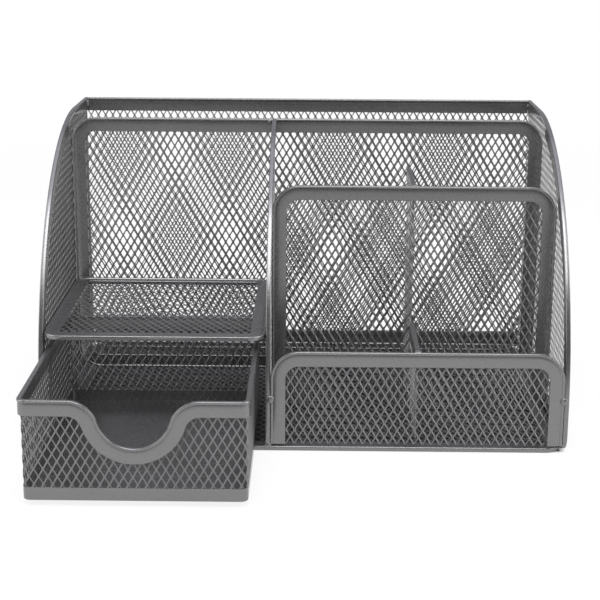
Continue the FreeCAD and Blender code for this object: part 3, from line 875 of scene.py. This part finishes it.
@dataclass
class Drawer:
    """The drawer: a pan, a net wall wrapped round it and one strip along the wall's top."""

    left: float = -107.0
    front: float = -135.7
    width: float = 87.8
    depth: float = 118.0
    floor: float = 2.3
    height: float = 40.2
    corner: float = 4.0
    proud: float = 0.4
    scoop_half: float = 25.0
    scoop_depth: float = 18.8
    scoop_low: float = 14.0
    pan_gauge: float = 0.5
    flange: float = 5.3
    pan_bend: float = 0.4
    pan_play: float = 0.3
    strip_cover: float = 2.0
    scoop_start: float = 1.0

    @property
    def inset(self) -> float:
        """How far the net's middle lies inside the drawer's outer faces."""
        return STAND.skin + self.proud

    @property
    def bend(self) -> float:
        """The radius that the net goes round a corner with."""
        return self.corner - self.inset

    @property
    def front_run(self) -> float:
        """The straight part of the front wall."""
        return self.width - self.corner * 2

    @property
    def side_run(self) -> float:
        """The straight part of a side wall."""
        return self.depth - self.corner * 2

    @property
    def shoulder(self) -> float:
        """The radius of the scoop's shoulders."""
        half, deep = self.scoop_half, self.scoop_depth
        return (half * half + deep * deep) / (deep * 2) - self.scoop_low

    @property
    def start(self) -> Vector:
        """The left end of the front wall's straight part, at the floor."""
        return Vector((self.left + self.corner, self.front + self.inset, self.floor))

    def build(self) -> None:
        """Make the strip, the wall and the pan."""
        self.roll_strip()
        self.wrap_net()
        self.press_pan()

    def roll_strip(self) -> None:
        """Sweep the strip along the front, down and up the scoop, and round the other sides."""
        swing = math.degrees(math.asin(self.scoop_half / (self.shoulder + self.scoop_low)))
        level = (self.front_run - self.scoop_half * 2) / 2
        section = StripSection(proud=-self.proud)
        strip = Strip(self.start + UP * self.height, RIGHT, -UP, section)
        strip.run(level).turn(self.shoulder, swing).turn(self.scoop_low, swing, -strip.inward)
        strip.turn(self.scoop_low, swing, -strip.inward).turn(self.shoulder, swing).run(level)
        for side in (self.side_run, self.front_run, self.side_run):
            strip.turn(self.bend, 90, strip.heading.cross(strip.inward)).run(side)
        strip.turn(self.bend, 90, strip.heading.cross(strip.inward)).join()
        strip.fit("drawer_strip", "drawer", "drawer_rim")

    def scoop_edge(self, across: float) -> float:
        """Give how far the scoop's edge lies below the top.

        Args:
            across: The distance from the scoop's middle.

        Returns:
            The drop.
        """
        across = abs(across)
        reach = self.shoulder + self.scoop_low
        if across >= self.scoop_half:
            return 0.0
        if across < self.scoop_half * self.scoop_low / reach:
            return self.scoop_depth - self.scoop_low + math.sqrt(
                self.scoop_low ** 2 - across ** 2)
        return self.shoulder - math.sqrt(self.shoulder ** 2 - (self.scoop_half - across) ** 2)

    def wrap_net(self) -> None:
        """Weave the wall flat, cut the scoop, and bend it round the corners."""
        quarter = self.bend * math.pi / 2
        round_trip = (self.front_run + self.side_run + quarter * 2) * 2
        cells = round(round_trip / Net.pitch)
        high = self.height - self.pan_gauge - STAND.net_inset
        net = Net((0, 0), (round_trip, high), pitch=round_trip / cells).weave()
        middle = self.front_run / 2
        hidden = STAND.net_inset + self.strip_cover

        def outside(point: Vector) -> bool:
            """Tell whether a point of the flat sheet lies in the scoop."""
            drop = self.scoop_edge(point.x - middle)
            return drop > self.scoop_start and point.y > high + STAND.net_inset - drop - hidden

        net.drop(outside)
        for vert in net.mesh.verts:
            vert.co = self.on_wall(vert.co)
        bmesh.ops.remove_doubles(net.mesh, verts=net.mesh.verts, dist=MERGE_GAP)
        net.hang("drawer_mesh", None, "drawer", "drawer_front_net", "drawer_left_net",
                 "drawer_right_net", "drawer_rear_net", "drawer_corner_nets")

    def on_wall(self, flat: Vector) -> Vector:
        """Move a point from the flat sheet to the wall.

        Args:
            flat: The way round the wall, the height and the offset outwards.

        Returns:
            The point in the part's frame.
        """
        quarter = self.bend * math.pi / 2
        way, turned = flat.x, 0.0
        at = self.start + UP * self.pan_gauge
        for run in (self.front_run, self.side_run, self.front_run, self.side_run):
            heading = Matrix.Rotation(turned, 3, "Z") @ RIGHT
            inner = UP.cross(heading)
            if way <= run:
                return at + heading * way - inner * flat.z + UP * flat.y
            way -= run
            at = at + heading * run
            if way <= quarter:
                swing = Matrix.Rotation(way / self.bend, 3, "Z")
                centre = at + inner * self.bend
                return centre - swing @ inner * (self.bend + flat.z) + UP * flat.y
            way -= quarter
            turned += math.pi / 2
            at = at + (heading + inner) * self.bend
        return self.start + UP * (self.pan_gauge + flat.y) - REAR * flat.z

    def press_pan(self) -> None:
        """Press the pan from a sheet: a flat floor with a bent-up flange."""
        mesh = bmesh.new()
        edge = self.inset - self.pan_play
        half = Vector((self.width / 2 - edge, self.depth / 2 - edge, 1))
        made = bmesh.ops.create_grid(mesh, x_segments=1, y_segments=1, size=1.0)
        bmesh.ops.scale(mesh, vec=half, verts=made["verts"])
        bmesh.ops.bevel(mesh, geom=mesh.verts[:], offset=self.corner - edge, affect="VERTICES",
                        segments=8, profile=0.5, material=-1)
        foot = mesh.edges[:]
        raised = bmesh.ops.extrude_edge_only(mesh, edges=foot)["geom"]
        bmesh.ops.translate(mesh, vec=UP * self.flange, verts=verts_in(raised))
        bmesh.ops.bevel(mesh, geom=foot, offset=self.pan_bend, affect="EDGES", segments=3,
                        profile=0.5, material=-1)
        bmesh.ops.translate(mesh, verts=mesh.verts, vec=Vector((
            self.left + self.width / 2, self.front + self.depth / 2, self.floor)))
        bmesh.ops.recalc_face_normals(mesh, faces=mesh.faces)
        floor = max(mesh.faces, key=lambda face: face.calc_area())
        outward = -math.copysign(1.0, floor.normal.z)
        bmesh.ops.solidify(mesh, geom=mesh.faces[:], thickness=self.pan_gauge * outward)
        hand_over(mesh, "drawer_pan_sheet", PAN_PAINT, "drawer", ["drawer_pan"])


@dataclass
class Welds:
    """The small blobs of weld metal that show where strips meet."""

    size: tuple[float, float] = (1.7, 0.6)
    small: tuple[float, float] = (1.0, 0.4)
    front_level: float = 22.5
    foot_level: float = 2.0
    small_drop: float = 1.25
    lumps: float = 1.7
    unevenness: float = 0.1
    sink: float = 0.95

    def build(self) -> None:
        """Make all the blobs as one piece."""
        mesh = bmesh.new()
        skin, middle = STAND.skin, STAND.cup_middle
        spots = [
            (Vector((STAND.inner, STAND.front, self.front_level)), -REAR, self.size),
            (Vector((STAND.divider_right, STAND.front, self.front_level)), -REAR, self.size),
            (Vector((STAND.divider_left + skin, STAND.front, self.foot_level)), -REAR, self.size),
            (Vector((middle, STAND.front_panel + skin, STAND.front_top)), UP, self.size),
            (Vector((middle, STAND.middle_panel + skin, STAND.middle_top)), UP, self.size),
            (Vector((STAND.divider_left - self.small[0], STAND.divider_front,
                     STAND.divider_top - self.small_drop)), -REAR, self.small),
        ]
        for spot, outward, size in spots:
            self.drop_blob(mesh, spot, outward, *size)
        bmesh.ops.recalc_face_normals(mesh, faces=mesh.faces)
        hand_over(mesh, "weld_blobs", WELD_PAINT, "housing", ["weld_beads"], crease=None)

    def drop_blob(self, mesh: bmesh.types.BMesh, spot: Vector, outward: Vector, radius: float,
                  height: float) -> None:
        """Add one uneven blob.

        Args:
            mesh: The mesh to add to.
            spot: The middle of its foot.
            outward: The direction that it stands out in.
            radius: Its radius.
            height: Its height.
        """
        verts = bmesh.ops.create_icosphere(mesh, subdivisions=3, radius=1.0)["verts"]
        for vert in verts:
            vert.co *= 1 + self.unevenness * noise.noise(vert.co * self.lumps + spot)
            for face in vert.link_faces:
                face.smooth = True
        bmesh.ops.scale(mesh, vec=Vector((radius, radius, height)) * self.sink, verts=verts)
        turn = UP.rotation_difference(outward).to_matrix().to_4x4()
        bmesh.ops.transform(mesh, matrix=Matrix.Translation(spot) @ turn, verts=verts)


# ---------------------------------------------------------------- studio


@dataclass
class Studio:
    """Floor, lamps and the camera at the photograph's angle."""

    eye: tuple[float, float, float] = (3.93, -652.86, 222.36)
    pitch: float = 15.173
    yaw: float = -0.562
    roll: float = 0.339
    lens: float = 88.494
    sensor: float = 36.0
    floor_level: float = -0.05
    floor_half: float = 6.0
    floor_tone: float = 0.82
    stain_tone: float = 0.97
    dim_tone: float = 0.35
    # Near-black colour of the painted shadow under the housing.
    painted_shadow_tone: float = 0.045
    far_start: float = 0.35
    far_span: float = 0.5
    dim_start: float = 0.28
    dim_span: float = 0.3
    painted_shadow_fade: float = 0.003
    near_glow: float = 0.86
    dim_loss: float = 0.56
    sky_strength: float = 0.15
    lamp_target: tuple[float, float, float] = (0.0, 0.0, 0.05)

    def build(self) -> None:
        """Set the studio up."""
        self.lay_floor()
        self.set_world()
        self.light()
        self.aim()

    def white(self) -> bpy.types.Material:
        """Make a pale surface that the camera sees as white, with the part's shadow on it and a
        painted shadow under the housing.

        Returns:
            The material.
        """
        graph = Graph("floor_white")
        tone = self.floor_tone
        stain = graph.speckle(6.0, 3.0)
        path = [graph.add("ShaderNodeLightPath", {}, out=ray) for ray in
                ("Is Camera Ray", "Is Glossy Ray", "Is Transmission Ray")]
        place = graph.add("ShaderNodeTexCoord", {}, out="Object")
        away = graph.add("ShaderNodeVectorMath", {"operation": "LENGTH"}, place, out="Value")
        ahead = graph.add("ShaderNodeSeparateXYZ", {}, place, out="Y") * -1
        far = ((away - self.far_start) / self.far_span).clamped()
        dim = ((ahead - self.dim_start) / self.dim_span).clamped()
        # Painted shadow: the floor under the housing is painted near black and loses its glow.
        under = self.painted_shadow_mask(graph)
        base = graph.blend(stain, grey(tone * self.stain_tone), grey(tone))
        base = graph.blend(dim, base, grey(tone * self.dim_tone))
        base = graph.blend(under, base, grey(self.painted_shadow_tone))
        plain = graph.add("ShaderNodeBsdfPrincipled", {}, Base_Color=base, Roughness=0.8)
        glow = graph.add("ShaderNodeEmission", {}, (1, 1, 1, 1), 1.0)
        edge_glow = (far + dim).clamped() * (1 - self.near_glow)
        seen = (path[0] + path[2]).clamped() * (self.near_glow + edge_glow)
        seen = seen + path[1] * (self.near_glow - dim * self.dim_loss)
        seen = seen.clamped() * (1 - under)
        return graph.finish(graph.add("ShaderNodeMixShader", {}, seen, plain, glow))

    def painted_shadow_mask(self, graph: Graph) -> Value:
        """Mark the floor right under the housing, where a painted shadow darkens it.

        Args:
            graph: The floor's material.

        Returns:
            1 under the housing and 0 outside it.
        """
        place = graph.add("ShaderNodeTexCoord", {}, out="Object")
        sides = [graph.add("ShaderNodeSeparateXYZ", {}, place, out=axis) for axis in ("X", "Y")]
        shares = []
        for side, half in zip(sides, (STAND.half_width, STAND.rear)):
            away = graph.add("ShaderNodeMath", {"operation": "ABSOLUTE"}, side)
            shares.append(((half * MM - away) / self.painted_shadow_fade).clamped())
        return shares[0] * shares[1]

    def lay_floor(self) -> None:
        """Lay the floor."""
        mesh = bmesh.new()
        bmesh.ops.create_grid(mesh, x_segments=1, y_segments=1, size=self.floor_half)
        bmesh.ops.translate(mesh, verts=mesh.verts, vec=Vector((0, 0, self.floor_level * MM)))
        data = bpy.data.meshes.new("floor")
        mesh.to_mesh(data)
        mesh.free()
        data.materials.append(self.white())
        floor = bpy.data.objects.new("floor", data)
        bpy.context.scene.collection.objects.link(floor)

    def set_world(self) -> None:
        """Set the world's plain light, which the camera sees as white."""
        world = bpy.data.worlds.new("studio")
        world.use_nodes = True
        bpy.context.scene.world = world
        tree = world.node_tree
        tree.nodes.clear()
        lights = [tree.nodes.new("ShaderNodeBackground") for _ in range(2)]
        for light, strength in zip(lights, (self.sky_strength, 1.0)):
            light.inputs[0].default_value = (1, 1, 1, 1)
            light.inputs[1].default_value = strength
        path = tree.nodes.new("ShaderNodeLightPath")
        mix = tree.nodes.new("ShaderNodeMixShader")
        out = tree.nodes.new("ShaderNodeOutputWorld")
        tree.links.new(path.outputs["Is Camera Ray"], mix.inputs[0])
        tree.links.new(lights[0].outputs[0], mix.inputs[1])
        tree.links.new(lights[1].outputs[0], mix.inputs[2])
        tree.links.new(mix.outputs[0], out.inputs[0])

    def light(self) -> None:
        """Hang the soft lamps."""
        cool, plain = (0.96, 0.94, 1.08), (1.0, 0.98, 1.0)
        for name, place, size, watts, tint in (
                ("top_lamp", (0.0, 0.1, 1.3), 1.5, 8.0, cool),
                ("left_lamp", (-1.2, -0.3, 0.7), 1.1, 13.0, plain),
                ("right_lamp", (1.2, -0.3, 0.7), 1.1, 14.0, plain),
                ("front_lamp", (0.0, -0.6, 1.1), 0.8, 11.0, plain),
                ("rear_lamp", (0.0, 1.3, 0.8), 1.6, 2.0, cool)):
            lamp = bpy.data.lights.new(name, "AREA")
            lamp.shape = "SQUARE"
            lamp.size = size
            lamp.energy = watts
            lamp.color = tint
            hung = bpy.data.objects.new(name, lamp)
            hung.location = place
            aim = Vector(self.lamp_target) - Vector(place)
            hung.rotation_euler = aim.to_track_quat("-Z", "Y").to_euler()
            bpy.context.scene.collection.objects.link(hung)

    def aim(self) -> None:
        """Set the camera where the photograph was taken from."""
        pitch, yaw, roll = (math.radians(turn) for turn in (self.pitch, self.yaw, self.roll))
        ahead = Vector((math.sin(yaw) * math.cos(pitch), math.cos(yaw) * math.cos(pitch),
                        -math.sin(pitch)))
        level = Vector((math.cos(yaw), -math.sin(yaw), 0))
        turn = Matrix.Rotation(-roll, 3, ahead)
        side = turn @ level
        upright = side.cross(ahead)
        camera = bpy.data.objects.new("camera", bpy.data.cameras.new("camera"))
        camera.data.lens = self.lens
        camera.data.sensor_width = self.sensor
        camera.data.clip_start, camera.data.clip_end = 0.01, 50.0
        camera.matrix_world = Matrix.Translation(Vector(self.eye) * MM) @ Matrix(
            (side, upright, -ahead)).transposed().to_4x4()
        bpy.context.scene.collection.objects.link(camera)
        bpy.context.scene.camera = camera
        bpy.context.scene.view_settings.view_transform = "Standard"


def main() -> None:
    """Build the stand, the drawer and the studio."""
    logging.basicConfig(level=logging.INFO, format="%(message)s")
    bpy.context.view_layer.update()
    middle_y = (STAND.front + STAND.rear) / 2
    divider_half = (STAND.divider_top - STAND.divider_foot) / 2
    reach = STAND.weld_overlap
    skin = STAND.skin
    shelf_length = STAND.divider_setback + reach
    SidePanel("left_side", skin - STAND.half_width).build()
    SidePanel("right_side", STAND.half_width - skin).build()
    RearPanel().build()
    RingPanel("base", Seat((0, middle_y, skin), RIGHT, REAR), STAND.inner * 2,
              STAND.rear - STAND.front, STAND.base_corner).build()
    RingPanel("rear_divider",
              Seat((0, STAND.divider_front + skin, STAND.divider_foot + divider_half), RIGHT, UP),
              (STAND.inner + reach) * 2, divider_half * 2, STAND.divider_corner).build()
    shelf_middle = (STAND.bay_width / 2 - STAND.inner, STAND.front + shelf_length / 2,
                    STAND.shelf_level)
    RingPanel("shelf", Seat(shelf_middle, RIGHT, REAR), STAND.bay_width, shelf_length,
              STAND.shelf_corner).build()
    CentreDivider().build()
    CupPanel("middle_panel", STAND.middle_panel, STAND.middle_top, STAND.divider_right - reach,
             STAND.inner + reach, STAND.middle_foot).build()
    CupPanel("front_panel", STAND.front_panel, STAND.front_top, STAND.divider_right, STAND.inner,
             STAND.panel_foot).build()
    CupDivider("rear_cup_divider", STAND.middle_panel + skin, STAND.divider_front,
               STAND.middle_top).build()
    CupDivider("front_cup_divider", STAND.front_panel + skin, STAND.middle_panel - skin,
               STAND.front_top).build()
    Drawer().build()
    Welds().build()
    Studio().build()


if __name__ == "__main__":
    main()
